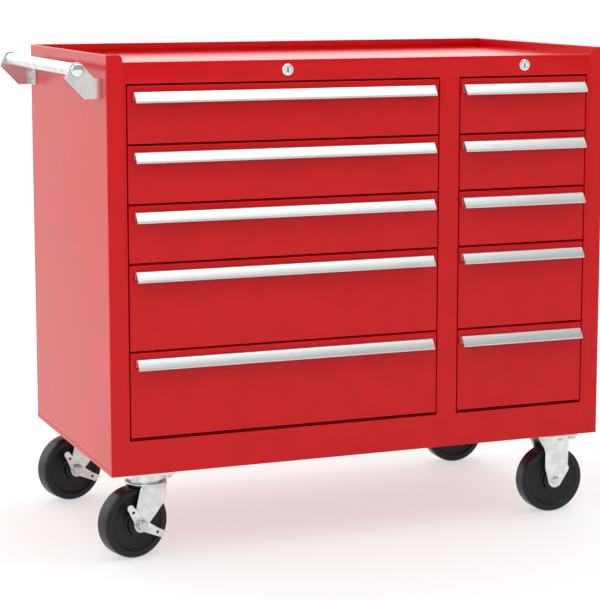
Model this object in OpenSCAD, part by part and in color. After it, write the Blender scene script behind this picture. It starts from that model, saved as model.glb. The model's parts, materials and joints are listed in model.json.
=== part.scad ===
// Rolling tool chest: ten drawers in two banks, on two swivel and two rigid casters.
// The front faces -Y, the push handle is on the -X side and the floor is z = 0.

/* [Body] */
// Width over the two side panels
body_w = 960; // [800:5:1160]
// Depth from the front face to the back panel
body_d = 520; // [430:5:630]
// Height of the body, without the casters
body_h = 732; // [610:1:880]
// Thickness of the folded steel sheet
sheet_t = 1.2; // [1:0.1:1.5]
// Inside radius of the folds
fold_r = 1.2; // [0.6:0.1:2]
// Width that a side panel folds round the front corner
corner_w = 29; // [24:1:31]
// Depth of the tray in the top, below its rim
tray_depth = 18; // [16:1:22]
// How far the front edge of the tray lies below the rim
rim_drop = 12.5; // [8:0.5:12.5]
// Depth of the folded hem along the rim
hem_h = 12; // [8:1:14]
// Height of the seam between the base pan and a side panel
seam_h = 7; // [5:1:12]
// Gap between the base pan's step and the side panel's edge
seam_gap = 1; // [0.4:0.2:2]

/* [Openings] */
// Width of the stile left of the wide bank
left_stile = 34; // [32:1:50]
// Width of the stile right of the narrow bank
right_stile = 36; // [32:1:50]
// Width of the divider between the banks
divider_w = 39; // [30:1:60]
// Width of the opening of the narrow bank
right_bank_w = 262; // [210:1:320]
// Height from the rim down to the openings
top_rail_h = 49.5; // [45:0.5:70]
// Height from the underside up to the openings
bottom_rail_h = 61; // [40:1:80]
// Depth of the flange behind the edge of an opening
return_d = 16; // [10:1:17]

/* [Drawers] */
// Height of the front of a shallow drawer
small_front_h = 100; // [80:1:115]
// Gap between two fronts, and above the top one
front_gap = 3; // [2:0.5:5]
// Gap below the lowest front
bottom_gap = 5; // [3:0.5:8]
// Gap beside a front
side_gap = 2.5; // [1.5:0.5:4]
// Depth of the folded front
front_d = 14; // [10:1:16]
// Drop from the top of a front to the rim of its box
box_drop = 14; // [10:1:24]
// Rise from the bottom of a front to the bottom of its box
box_rise = 8; // [5:1:12]
// Thickness of the box's sheet
box_t = 1; // [0.8:0.1:1.4]
// Space between the boxes and the back panel, for the lock bars
rear_space = 52; // [46:1:80]

/* [Slides] */
// Space that a slide takes between box and cabinet
slide_w = 12.7; // [12:0.1:16]
// Height of the cabinet member
slide_h = 36; // [32:1:46]
// Thickness of a slide member
slide_t = 1.2; // [1:0.1:1.4]
// Space between nested members, where the balls run
ball_gap = 2; // [1.4:0.1:2.4]
// Distance from the front face to the slides
slide_set = 20; // [18:1:30]

/* [Pulls] */
// How far a pull stands out of the front
pull_out = 18; // [14:1:24]
// Drop of a pull's slope
pull_h = 18; // [14:1:24]
// Width of the flat ledge on top of a pull
pull_ledge = 8; // [5:1:10]
// Thickness of the pull's extrusion
pull_t = 1.8; // [1.4:0.1:2.2]
// Drop from the top of a front to the pull
pull_drop = 10.5; // [6:0.5:16]
// Distance from the wide opening's edge to the end of a pull
wide_pull_inset = 13; // [6:0.5:20]
// Distance from the narrow opening's edge to the end of a pull
narrow_pull_inset = 7.4; // [6:0.2:20]

/* [Locks] */
// Diameter of the lock's face
lock_d = 21; // [19:1:21]
// Diameter of the turning plug
plug_d = 12; // [10:1:13]
// Drop from the rim to the middle of the lock
lock_drop = 30.2; // [29:0.1:34]
// Lift of the lock bars, which is also the radius of the crank
lock_lift = 8; // [6:1:8]
// Radial clearance of a turning fit
turn_fit = 0.06; // [0.02:0.01:0.1]

/* [Handle] */
// Diameter of the handle tube
tube_d = 22; // [18:1:25]
// Wall of the handle tube
tube_wall = 1.6; // [1.2:0.1:3]
// Distance from the side panel to the middle of the tube
handle_out = 43; // [38:1:60]
// Drop from the rim to the middle of the tube
handle_drop = 26; // [22:1:60]
// Distance from the front face to the front bracket
front_bracket_y = 30; // [20:1:60]
// Distance from the back panel to the rear bracket
rear_bracket_y = 10; // [8:1:60]
// Thickness of a bracket
bracket_t = 3; // [2:0.5:5]
// Length of a bracket's mounting flange
bracket_flange = 28; // [24:1:40]

/* [Casters] */
// Height from the floor to the body
caster_h = 156; // [154:1:170]
// Diameter of a wheel
wheel_d = 127; // [118:1:129]
// Width of a wheel's tread
wheel_w = 36; // [28:1:40]
// Diameter of an axle
axle_d = 12.7; // [10:0.1:14]
// Distance from a body side to a caster's centre
caster_inset_x = 76; // [50:1:100]
// Distance from the front or back face to a caster's centre
caster_inset_y = 47; // [47:1:90]
// Offset of a swivel caster's wheel from its swivel axis
trail = 29; // [20:1:34]
// Turn of the swivel casters from straight left
swivel_turn = 15; // [0:1:45]
// Width of a caster's top plate
plate_x = 80; // [78:1:90]
// Depth of a caster's top plate
plate_y = 92; // [90:1:110]
// Thickness of a caster's top plate
plate_t = 4; // [3:0.5:5]
// Thickness of a fork leg
leg_t = 3.5; // [3:0.5:4]

/* [Hidden] */
SIDES = ["left", "right"];
ENDS = ["front", "rear"];
ROWS = 5;
SMALL_ROWS = 3;
$fn = 48;
fold_steps = 5;

RED = "#c5242a";
SILVER = "#d9dcdc";
ZINC = "#b9bdbd";
STEEL = "#8f9294";
BLACK = "#2b2c30";

// The bracket's tip reaches past the tube, and sets the object's leftmost point
bracket_reach = handle_out + 21;
cab_x = bracket_reach / 2;
cab_y = pull_out / 2;

// The body's faces, in its own frame with x = y = 0 in its middle
xl = -body_w / 2;
xr = body_w / 2;
yf = -body_d / 2;
yb = body_d / 2;
zb = caster_h;
zt = caster_h + body_h;
z_lip = zt - rim_drop;

// A hem holds the tray's flange between its two legs
hem_fit = 0.1;
hem_w = 3 * sheet_t + 2 * hem_fit;
hem_bend = sheet_t / 2;
// A side panel's front corner runs down past the seam, this far round the corner
corner_d = 6;
tray_z = zt - tray_depth;
tray_under = tray_z - sheet_t;
tray_gap = 0.2;
// The front hem's inner leg ends well above the tray's floor
front_hem_h = 0.6 * (z_lip - tray_z);

// Openings
open_z0 = zb + bottom_rail_h;
// Foot of the side posts, just above the pan's walls
post_z = zb + seam_h + 16;
open_z1 = zt - top_rail_h;
open_h = open_z1 - open_z0;
large_front_h = (open_h - ROWS * front_gap - bottom_gap - SMALL_ROWS * small_front_h)
    / (ROWS - SMALL_ROWS);
wide_x0 = xl + left_stile;
narrow_x1 = xr - right_stile;
narrow_x0 = narrow_x1 - right_bank_w;
wide_x1 = narrow_x0 - divider_w;

// Slides run from behind the fronts to the ends of the boxes
box_end = yb - rear_space;
slide_y0 = yf + slide_set;
slide_l = box_end - slide_y0;
web_gap = 1.8;
middle_h = slide_h - 2 * (slide_t + ball_gap);
inner_h = middle_h - 2 * (slide_t + ball_gap);

// Lock mechanism
lock_z = zt - lock_drop;
bar_t = 3;
bar_y = yb - 26;
crank_pin_r = 2;
slot_play = 2.3;
catch_w = 16;
// Drop from the rim of a box to its catch
catch_drop = 24;
catch_d = 14;
catch_lip = lock_lift + 1.5;
hook_clear = 1;
bar_side = 9;

// Handle
tube_x = xl - handle_out;
tube_z = zt - handle_drop;
tube_past = 4;
bracket_h = 34.5;
bracket_z = tube_z - 49.5;
tube_y0 = yf + front_bracket_y - tube_past;
tube_y1 = yb - rear_bracket_y + tube_past;
screw_d = 5;
hole_fit = 0.2;

// Casters
caster_x = [xl + caster_inset_x, xr - caster_inset_x];
caster_y = [yf + caster_inset_y, yb - caster_inset_y];
wheel_r = wheel_d / 2;
axle_r = axle_d / 2;
shoulder_r = 8;
hub_r = 21;
hub_w = wheel_w + 11;
leg_in = hub_w / 2 + 0.5;
leg_out = leg_in + leg_t;
eye_r = axle_r + 7.6;
crown_z = zb - 25;
crown_t = 4;
crown_r = leg_out + 10.5;
pin_r = 6;
race_r = 34;
// A straight edge meets a round end this far inside its circle
tuck = 0.4;
bolt_d = 8;
bolt_x = 30;
bolt_y = 36;
brake_t = 3;
brake_v = leg_out + 0.5;

// Unit vector from a to b
function unit(a, b) = (b - a) / norm(b - a);

// A vector turned a quarter turn to its left
function quarter(v) = [-v.y, v.x];

// A vector turned by an angle
function turned(v, a) = [v.x * cos(a) - v.y * sin(a), v.x * sin(a) + v.y * cos(a)];

// Point i of an open path, moved d to the path's left
function beside(path, i, d) =
    let (a = quarter(i > 0 ? unit(path[i - 1], path[i]) : unit(path[0], path[1])),
         b = i < len(path) - 1 ? quarter(unit(path[i], path[i + 1])) : a)
    path[i] + d * (a + b) / (1 + a * b);

// Whether an open path turns left at point i
function bends_left(path, i) =
    let (a = path[i] - path[i - 1], b = path[i + 1] - path[i])
    a.x * b.y - a.y * b.x > 0;

// Points of point i of a path, rounded by radius r
function corner(path, i, r) =
    let (a = unit(path[i], path[i - 1]), b = unit(path[i], path[i + 1]),
         half = acos(max(-1, min(1, a * b))) / 2,
         centre = path[i] + unit([0, 0], a + b) * r / sin(half),
         start = path[i] + a * r / tan(half) - centre,
         turn = (a.x * b.y - a.y * b.x > 0 ? -1 : 1) * (180 - 2 * half))
    r <= 0 ? [path[i]] : [for (k = [0:fold_steps]) centre + turned(start, turn * k / fold_steps)];

// One face of a folded sheet: the path moved d to its left, rounded for folds of inside radius r
function sheet_face(path, d, t, r) =
    let (line = [for (i = [0:len(path) - 1]) beside(path, i, d)], inside = d > 0)
    [for (i = [0:len(path) - 1])
        each (i == 0 || i == len(path) - 1 ? [line[i]]
            : corner(line, i, r <= 0 ? 0 : r + (bends_left(path, i) == inside ? 0 : t)))];

// Outline of a sheet of thickness t whose right-hand face follows the path
function sheet(path, t = sheet_t, r = fold_r) =
    let (near = sheet_face(path, 0, t, r), far = sheet_face(path, t, t, r))
    concat(near, [for (i = [len(far) - 1:-1:0]) far[i]]);

// Point where the line from p touches a circle round c, on side s
function touch(p, c, r, s) =
    let (d = norm(c - p), a = atan2(c.y - p.y, c.x - p.x) + s * asin(r / d))
    p + sqrt(d * d - r * r) * [cos(a), sin(a)];

// Shapes drawn in (x, z) and carried from y0 to y1
module along_y(y0, y1) {
    translate([0, y1, 0]) rotate([90, 0, 0]) linear_extrude(y1 - y0) children();
}

// Shapes drawn in (y, z) and carried from x0 to x1
module along_x(x0, x1) {
    translate([x0, 0, 0]) rotate([90, 0, 90]) linear_extrude(x1 - x0) children();
}

// A box between two corners
module block(a, b) {
    translate(a) cube(b - a);
}

// A round bar along Y
module rod_y(x, z, r, y0, y1) {
    translate([x, y1, z]) rotate([90, 0, 0]) cylinder(r = r, h = y1 - y0);
}

// A round bar along X
module rod_x(y, z, r, x0, x1) {
    translate([x0, y, z]) rotate([0, 90, 0]) cylinder(r = r, h = x1 - x0);
}

// Puts the body's frame into the object's frame
module in_place() {
    translate([cab_x, cab_y, 0]) children();
}

function bank_x0(bank) = bank == 0 ? wide_x0 : narrow_x0;
function bank_x1(bank) = bank == 0 ? wide_x1 : narrow_x1;
function bank_mid(bank) = (bank_x0(bank) + bank_x1(bank)) / 2;
function front_h(row) = row < SMALL_ROWS ? small_front_h : large_front_h;
function front_z1(row) = row == 0 ? open_z1 - front_gap : front_z0(row - 1) - front_gap;
function front_z0(row) = front_z1(row) - front_h(row);
function slide_z(row) = (front_z0(row) + front_z1(row)) / 2 - 3;

// Hem that folds over the tray's flange, in (across, up) with its outer face at 0
function hem(top, leg) = sheet([[hem_w, top - leg], [hem_w, top], [0, top], [0, top - hem_h]],
    sheet_t, hem_bend);

// Left side panel: wall, rear flange, fold round the front corner, and hemmed rim
module side_panel() {
    wall_z0 = zb + seam_h + seam_gap;
    wall_z1 = zt - hem_h;
    flange = 16;
    // The wall rises from the front lip to the rim in a round corner
    rise_r = rim_drop - 2.5;
    tab = 8;
    plan = [[xl + flange, yb - sheet_t], [xl, yb - sheet_t], [xl, yf],
            [xl + corner_w - rise_r, yf]];
    top_plan = [[xl, yb - sheet_t], [xl, yf], [xl + corner_w - rise_r, yf]];
    corner_plan = [[xl, yf + corner_d], [xl, yf], [xl + corner_w - rise_r, yf]];
    edge = [[xl + corner_w, z_lip - rise_r], [xl + corner_w, zt], [xl + fold_r + sheet_t, zt]];
    round_plan = concat([[xl, yb - hem_w], [xl + corner_w, yb - hem_w], [xl + corner_w, yf]],
        corner([[xl + corner_w, yf], [xl, yf], [xl, yb]], 1, fold_r + sheet_t));
    translate([0, 0, wall_z0]) linear_extrude(tray_under - wall_z0) polygon(sheet(plan));
    translate([0, 0, tray_under - 1]) linear_extrude(wall_z1 - tray_under + 1) polygon(sheet(top_plan));
    translate([0, 0, zb]) linear_extrude(2 * seam_h) polygon(sheet(corner_plan));
    along_y(yf, yf + sheet_t) polygon(concat(
        [[xl + fold_r + sheet_t, zb], [xl + corner_w, zb]],
        corner(edge, 1, rise_r),
        [[xl + corner_w - rise_r - tab, zt], [xl + corner_w - rise_r - tab, zt - hem_h],
         [xl + fold_r + sheet_t, zt - hem_h]]));
    intersection() {
        union() {
            along_y(yf, yb - hem_w) translate([xl, 0]) polygon(hem(zt, hem_h));
            along_x(xl, xl + corner_w - rise_r - 0.5) translate([yf, 0]) polygon(hem(zt, hem_h));
        }
        translate([0, 0, wall_z1 - 1]) linear_extrude(hem_h + 2) polygon(round_plan);
    }
}

// Screw holes of the handle brackets, through the left wall
module bracket_screws(r, x0, x1) {
    for (y = [yf + front_bracket_y + bracket_t + bracket_flange / 2,
              yb - rear_bracket_y - bracket_t - bracket_flange / 2], dz = [9, bracket_h - 9]) {
        rod_x(y, bracket_z + dz, r, x0, x1);
    }
}

module left_side_panel() {
    color(RED) in_place() difference() {
        side_panel();
        bracket_screws(screw_d / 2 + hole_fit, xl - 1, xl + 2 * sheet_t);
    }
}

module right_side_panel() {
    color(RED) in_place() mirror([1, 0, 0]) side_panel();
}

// Back panel with its hemmed rim, and loops that guide the two lock bars
module back_panel() {
    loop_w = 2;
    play = 0.6;
    color(RED) in_place() {
        along_x(xl, xr) polygon(sheet([[yb, zb], [yb, zt], [yb - hem_w, zt],
            [yb - hem_w, zt - hem_h]], sheet_t, hem_bend));
        for (bank = [0, 1], row = [1, 3]) {
            z = front_z0(row) + 20;
            x0 = bank_mid(bank) - bar_side - play;
            x1 = bank_mid(bank) + bar_side + lock_lift + play;
            difference() {
                block([x0 - loop_w, bar_y - play - loop_w, z], [x1 + loop_w, yb - sheet_t, z + 12]);
                block([x0, bar_y - play, z - 1], [x1, yb, z + 13]);
            }
        }
    }
}

// Tray in the top: a floor with flanges that stand inside the hems
module top_tray() {
    out = sheet_t + hem_fit;
    flange_z = zt - sheet_t - 1;
    color(RED) in_place() {
        block([xl + out, yf + out + fold_r, tray_under], [xr - out, yb - out, tray_z]);
        block([xl + out + fold_r, yf + out, tray_under],
            [xr - out - fold_r, yf + out + fold_r + 1, tray_z]);
        for (x = [xl + out, xr - out - sheet_t]) {
            block([x, yf + hem_w + tray_gap, tray_under],
                [x + sheet_t, yb - hem_w - tray_gap, flange_z]);
        }
        block([xl + hem_w + tray_gap, yb - out - sheet_t, tray_under],
            [xr - hem_w - tray_gap, yb - out, flange_z]);
        block([xl + corner_w, yf + out, tray_under],
            [xr - corner_w, yf + out + sheet_t, z_lip - sheet_t - 1]);
    }
}

// Places of the caster bolts
module at_bolts() {
    for (x = caster_x, y = caster_y, dx = [-bolt_x, bolt_x], dy = [-bolt_y, bolt_y]) {
        translate([x + dx, y + dy, 0]) children();
    }
}

// Base pan: floor, side walls with a joggle that goes inside the side panels, end walls
module base_pan() {
    joggle_z = zb + seam_h;
    wall_z = post_z - 1;
    y0 = yf + sheet_t;
    y1 = yb - sheet_t;
    color(RED) in_place() difference() {
        union() {
            along_y(yf + corner_d, y1 - sheet_t - fold_r) polygon(sheet([[xl + sheet_t, wall_z],
                [xl + sheet_t, joggle_z], [xl, joggle_z], [xl, zb], [xr, zb], [xr, joggle_z],
                [xr - sheet_t, joggle_z], [xr - sheet_t, wall_z]], sheet_t, 0));
            block([xl + sheet_t + fold_r, y0, zb], [xr - sheet_t - fold_r, y1, zb + sheet_t]);
            block([wide_x0, y0, zb], [narrow_x1, y0 + sheet_t, wall_z]);
            block([wide_x0, y1 - 2 * sheet_t, zb], [narrow_x1, y1 - sheet_t, wall_z]);
        }
        at_bolts() translate([0, 0, zb - 1]) cylinder(r = bolt_d / 2 + hole_fit, h = 4);
    }
}

// Front frame: rails, stiles and divider in one sheet, with flanges behind the openings
module front_frame() {
    x0 = xl + corner_w;
    x1 = xr - corner_w;
    color(RED) in_place() difference() {
        union() {
            block([x0, yf, zb], [x1, yf + sheet_t, z_lip - hem_w]);
            along_x(x0, x1) translate([yf, 0]) polygon(sheet([[hem_w, z_lip - front_hem_h], [hem_w, z_lip],
                [0, z_lip], [0, z_lip - 2 * hem_w]], sheet_t, hem_bend));
            for (bank = [0, 1]) {
                block([bank_x0(bank) - sheet_t, yf, open_z0 - sheet_t],
                    [bank_x1(bank) + sheet_t, yf + return_d, open_z1 + sheet_t]);
            }
        }
        for (bank = [0, 1]) {
            block([bank_x0(bank), yf - 1, open_z0], [bank_x1(bank), yf + return_d + 1, open_z1]);
            rod_y(bank_mid(bank), lock_z, lock_d / 2 - 2 + hole_fit, yf - 1, yf + 4);
        }
    }
}

// Double-walled partition between the banks, which carries slides on both faces
module center_partition() {
    y0 = yf + return_d;
    y1 = yb - 3 * sheet_t;
    color(RED) in_place() translate([0, 0, zb + sheet_t]) linear_extrude(tray_under - zb - sheet_t)
        polygon(sheet([[wide_x1, y1], [wide_x1, y0], [narrow_x0, y0], [narrow_x0, y1]]));
}

// Hat-section post on a side wall: its web lies in the plane of the opening's edge
module upright(depth) {
    half = 18;
    brim = 13;
    linear_extrude(tray_under - post_z) polygon(sheet([[0, half + brim], [0, half],
        [depth - sheet_t, half], [depth - sheet_t, -half], [0, -half], [0, -half - brim]]));
}

module side_uprights() {
    // The front posts' webs stand clear of the bracket screws, which enter the hollow beside them
    screw_clear = 11;
    rear_set = 60;
    front_y = yf + front_bracket_y + bracket_t + bracket_flange / 2 + screw_clear;
    color(RED) in_place() for (y = [front_y, box_end - rear_set]) {
        translate([xl + sheet_t, y, post_z]) upright(left_stile - sheet_t);
        translate([xr - sheet_t, y, post_z]) mirror([1, 0, 0]) upright(right_stile - sheet_t);
    }
}

// The three members of a slide in (across, up), with the cabinet's side at 0
function cabinet_member() =
    let (d = slide_w - 3.7, h = slide_h / 2)
    sheet([[d, h], [0, h], [0, -h], [d, -h]], slide_t, 0.6);
function middle_member() =
    let (a = slide_t + web_gap, b = slide_w - 2.5, h = middle_h / 2)
    sheet([[b, h], [a, h], [a, -h], [b, -h]], slide_t, 0.6);
function drawer_member() =
    let (a = 2 * (slide_t + web_gap) - 0.8, h = inner_h / 2)
    sheet([[a, -h], [slide_w, -h], [slide_w, h], [a, h]], slide_t, 0.6);

// A pair of like members on both sides of a bank, for one row
module member_pair(bank, row) {
    translate([bank_x0(bank), 0, slide_z(row)]) along_y(slide_y0, box_end) children();
    translate([bank_x1(bank), 0, slide_z(row)]) mirror([1, 0, 0])
        along_y(slide_y0, box_end) children();
}

module cabinet_rails() {
    color(ZINC) in_place() for (bank = [0, 1], row = [0:ROWS - 1]) {
        member_pair(bank, row) polygon(cabinet_member());
    }
}

module middle_slides(bank, row) {
    color(ZINC) in_place() member_pair(bank, row) polygon(middle_member());
}

// Drawer: hollow folded front, box with hemmed sides, its slide members and its lock catch
module drawer(bank, row) {
    fx0 = bank_x0(bank) + side_gap;
    fx1 = bank_x1(bank) - side_gap;
    z0 = front_z0(row);
    z1 = front_z1(row);
    bx0 = bank_x0(bank) + slide_w;
    bx1 = bank_x1(bank) - slide_w;
    bz0 = z0 + box_rise;
    bz1 = z1 - box_drop;
    top_w = 4;
    cap_gap = 4;
    back = yf + front_d;
    mid = bank_mid(bank);
    catch_z = bz1 - catch_drop;
    color(RED) in_place() {
        along_x(fx0, fx1) polygon(sheet([[back, z1], [yf, z1], [yf, z0], [back, z0]]));
        for (x = [fx0, fx1 - sheet_t]) {
            block([x, yf + sheet_t, z0 + cap_gap], [x + sheet_t, back, z1 - cap_gap]);
        }
        block([fx0, back, z0], [fx1, back + sheet_t, z1]);
        along_y(back + sheet_t, box_end) polygon(sheet([[bx0 + top_w, bz1 - top_w],
            [bx0 + top_w, bz1], [bx0, bz1], [bx0, bz0], [bx1, bz0], [bx1, bz1],
            [bx1 - top_w, bz1], [bx1 - top_w, bz1 - top_w]], box_t, 1));
        block([bx0 + box_t, box_end - box_t, bz0 + box_t / 2], [bx1 - box_t, box_end, bz1 - box_t]);
        block([mid - catch_w / 2, box_end - box_t, catch_z],
            [mid + catch_w / 2, box_end + catch_d, catch_z + sheet_t]);
        block([mid - catch_w / 2, box_end + catch_d - sheet_t, catch_z],
            [mid + catch_w / 2, box_end + catch_d, catch_z + sheet_t + catch_lip]);
    }
    color(ZINC) in_place() member_pair(bank, row) polygon(drawer_member());
}

// Pull: one extrusion with a back leg, a flat ledge, a slope and a beaded lip
module pull(bank, row) {
    inset = bank == 0 ? wide_pull_inset : narrow_pull_inset;
    z = front_z1(row) - pull_drop;
    lip = [yf - pull_out + pull_t, z - pull_h + pull_t / 2];
    color(SILVER) in_place() along_x(bank_x0(bank) + inset, bank_x1(bank) - inset) {
        polygon(sheet([[yf, z - 0.75 * pull_h], [yf, z], [yf - pull_ledge, z],
            [yf - pull_out + 0.5, z - pull_h + 1]], pull_t, 0.8));
        translate(lip) circle(r = pull_t);
    }
}

// Lock housing: a domed face in the top rail, a barrel behind it, and the bore for the plug
module lock_housings() {
    color(SILVER) in_place() for (bank = [0, 1]) {
        translate([bank_mid(bank), yf, lock_z]) rotate([90, 0, 0]) rotate_extrude() {
            polygon([[plug_d / 2 + turn_fit, -22], [lock_d / 2 - 2, -22], [lock_d / 2 - 2, 0],
                [lock_d / 2, 0], [lock_d / 2, 1], [lock_d / 2 - 1.5, 2.5], [plug_d / 2 + turn_fit, 2.5]]);
        }
    }
}

// Lock plug with its key slot, the rod to the back, and the crank that moves the lock bar
module lock_plug(bank) {
    x = bank_mid(bank);
    rod_r = 3.5;
    crank_y = bar_y - 5;
    color(ZINC) in_place() {
        difference() {
            rod_y(x, lock_z, plug_d / 2, yf - 2, yf + 24);
            block([x - 1.1, yf - 3, lock_z - 4], [x + 1.1, yf + 3, lock_z + 4]);
        }
        rod_y(x, lock_z, rod_r, yf + 24, crank_y);
        along_y(crank_y, crank_y + bar_t) {
            translate([x, lock_z]) circle(r = rod_r + 2);
            translate([x + lock_lift, lock_z]) circle(r = crank_pin_r + 2);
            translate([x, lock_z - 3]) square([lock_lift, 6]);
        }
        rod_y(x + lock_lift, lock_z, crank_pin_r, crank_y + bar_t, bar_y + bar_t + 2);
    }
}

// Lock bar: slotted at the crank, with a hook above each drawer's catch
module lock_bar(bank) {
    x = bank_mid(bank);
    slot_h = crank_pin_r + slot_play;
    low_z = front_z0(ROWS - 1) + 20;
    finger = bar_y - box_end - 2;
    hook_h = 28;
    color(ZINC) in_place() difference() {
        union() {
            block([x - bar_side, bar_y, low_z],
                [x + bar_side + lock_lift, bar_y + bar_t, lock_z + slot_h + 2.5]);
            for (row = [0:ROWS - 1]) {
                tip_z = front_z1(row) - box_drop - catch_drop + sheet_t + catch_lip + hook_clear;
                along_x(x - 5, x + 5) translate([bar_y, 0]) polygon(sheet([[0, tip_z + hook_h],
                    [-finger, tip_z + hook_h], [-finger, tip_z]], bar_t, 0));
            }
        }
        block([x - crank_pin_r - 1.5, bar_y - 1, lock_z - slot_h],
            [x + lock_lift + crank_pin_r + 1.5, bar_y + bar_t + 1, lock_z + slot_h]);
    }
}

// Handle tube through both brackets
module handle_tube() {
    color(SILVER) in_place() difference() {
        rod_y(tube_x, tube_z, tube_d / 2, tube_y0, tube_y1);
        rod_y(tube_x, tube_z, tube_d / 2 - tube_wall, tube_y0 - 1, tube_y1 + 1);
    }
}

// End plug: a spigot in the tube and a domed head
module end_plug() {
    r = tube_d / 2;
    rotate_extrude() polygon(concat([[0, -12], [r - tube_wall - hole_fit, -12],
        [r - tube_wall - hole_fit, 0], [r, 0]],
        [for (k = [0:6]) [r * cos(k * 15), 1 + 2 * sin(k * 15)]]));
}

module handle_end_plugs() {
    color(ZINC) in_place() {
        translate([tube_x, tube_y0, tube_z]) rotate([90, 0, 0]) end_plug();
        translate([tube_x, tube_y1, tube_z]) rotate([-90, 0, 0]) end_plug();
    }
}

// Bracket: a slanted plate out to the tube and a mounting flange against the side panel
module bracket_plate() {
    reach = bracket_reach;
    eye = [handle_out, tube_z - bracket_z];
    boss = tube_d / 2 + 2.5;
    low = [reach, bracket_h + 1.5];
    high = [12, bracket_h + 1];
    mirror([1, 0]) difference() {
        union() {
            polygon([[0, 0], [29, 0], low, touch(low, eye, boss, -1), eye,
                touch(high, eye, boss, 1), high, [0, bracket_h]]);
            translate(eye) circle(r = boss);
        }
        translate(eye) circle(r = tube_d / 2 + hole_fit);
    }
}

module handle_brackets() {
    front = yf + front_bracket_y;
    rear = yb - rear_bracket_y - bracket_t;
    color(SILVER) in_place() difference() {
        union() {
            for (y = [front, rear]) {
                translate([xl, 0, bracket_z]) along_y(y, y + bracket_t) bracket_plate();
            }
            block([xl - bracket_t, front, bracket_z],
                [xl, front + bracket_t + bracket_flange, bracket_z + bracket_h]);
            block([xl - bracket_t, rear - bracket_flange, bracket_z],
                [xl, rear + bracket_t, bracket_z + bracket_h]);
        }
        bracket_screws(screw_d / 2 + hole_fit, xl - bracket_t - 1, xl + 1);
    }
}

// Top plate of a caster with its four bolt holes
module top_plate() {
    difference() {
        translate([-plate_x / 2, -plate_y / 2, zb - plate_t]) cube([plate_x, plate_y, plate_t]);
        for (dx = [-bolt_x, bolt_x], dy = [-bolt_y, bolt_y]) {
            translate([dx, dy, zb - plate_t - 1]) cylinder(r = bolt_d / 2 + hole_fit, h = plate_t + 2);
        }
    }
}

// Swivel plates: top plate, race cup and kingpin, riveted together
module swivel_plates() {
    z = zb - plate_t;
    head_z = crown_z - 1.5;
    color(ZINC) in_place() for (y = caster_y) translate([caster_x[0], y, 0]) {
        top_plate();
        rotate_extrude() polygon([[0, z + 1], [0, head_z - 4], [pin_r + 4, head_z - 4],
            [pin_r + 4, head_z], [pin_r, head_z], [pin_r, z - 3], [race_r - 3, z - 3],
            [race_r - 3, z - 12.5], [race_r, z - 12.5], [race_r + 1, z], [race_r + 1, z + 1]]);
    }
}

// Turns a shape drawn along +X into the direction in which a swivel caster trails
module at_swivel(end) {
    in_place() translate([caster_x[0], caster_y[end], 0]) rotate([0, 0, 180 + swivel_turn])
        children();
}

// Fork leg in (trail, up): wide at the crown, with an eye for the axle
module fork_leg() {
    eye = [trail, wheel_r];
    top = sqrt(crown_r * crown_r - leg_out * leg_out) - 1;
    back = [top, crown_z];
    knee = [2 - top, crown_z - 32];
    difference() {
        union() {
            polygon([[top, crown_z + crown_t / 2], [-top, crown_z + crown_t / 2], knee,
                touch(knee, eye, eye_r - tuck, -1), eye, touch(back, eye, eye_r - tuck, 1), back]);
            translate(eye) circle(r = eye_r);
        }
        translate(eye) circle(r = axle_r + turn_fit);
    }
}

module fork(end) {
    race = 24;
    color(SILVER) at_swivel(end) {
        along_y(leg_in, leg_out) fork_leg();
        along_y(-leg_out, -leg_in) fork_leg();
        rotate_extrude() polygon([[pin_r + turn_fit, crown_z], [crown_r, crown_z],
            [crown_r, crown_z + crown_t], [race + 4, crown_z + crown_t],
            [race + 4, crown_z + crown_t + 9], [race - 4, crown_z + crown_t + 9],
            [race - 4, crown_z + crown_t], [pin_r + turn_fit, crown_z + crown_t]]);
    }
}

// Axle bolt of a swivel caster, with its head outside the brake lever and its nut inside
module axle(end) {
    v0 = -leg_out - 0.2;
    v1 = brake_v + brake_t + 0.5;
    color(ZINC) at_swivel(end) {
        rod_y(trail, wheel_r, axle_r, v0 - 9, v1 + 1);
        rod_y(trail, wheel_r, axle_r + 5, v1, v1 + 2);
        translate([trail, v1 + 8, wheel_r]) rotate([90, 0, 0]) cylinder(r = 10.5, h = 6, $fn = 6);
        translate([trail, v0, wheel_r]) rotate([90, 0, 0]) cylinder(r = 10.5, h = 8, $fn = 6);
    }
}

// Brake lever on the axle: a plate with two arms, and a flange folded along the lower arm
module brake(end) {
    hub = axle_r + 7.6;
    hub_in = hub - 1;
    tip_r = 6.5;
    hole_r = 2.6;
    // Angle of each arm, its length and the distance of its hole
    arms = [[56, 39, 29], [209, 46, 38]];
    flange_l = 34;
    root = 50;
    color(SILVER) at_swivel(end) {
        along_y(brake_v, brake_v + brake_t) translate([trail, wheel_r]) difference() {
            union() {
                circle(r = hub);
                for (arm = arms) rotate(arm[0]) {
                    polygon([[0, 0], hub_in * [cos(root), -sin(root)], [arm[1], tuck - tip_r],
                        [arm[1], tip_r - tuck], hub_in * [cos(root), sin(root)]]);
                    translate([arm[1], 0]) circle(r = tip_r);
                }
            }
            circle(r = axle_r + turn_fit);
            for (arm = arms) rotate(arm[0]) translate([arm[2], 0]) circle(r = hole_r);
        }
        along_y(leg_in, brake_v + brake_t) translate([trail, wheel_r]) rotate(arms[1][0])
            translate([hub_r + 3, -tip_r - 1]) square([flange_l, 2]);
    }
}

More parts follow.
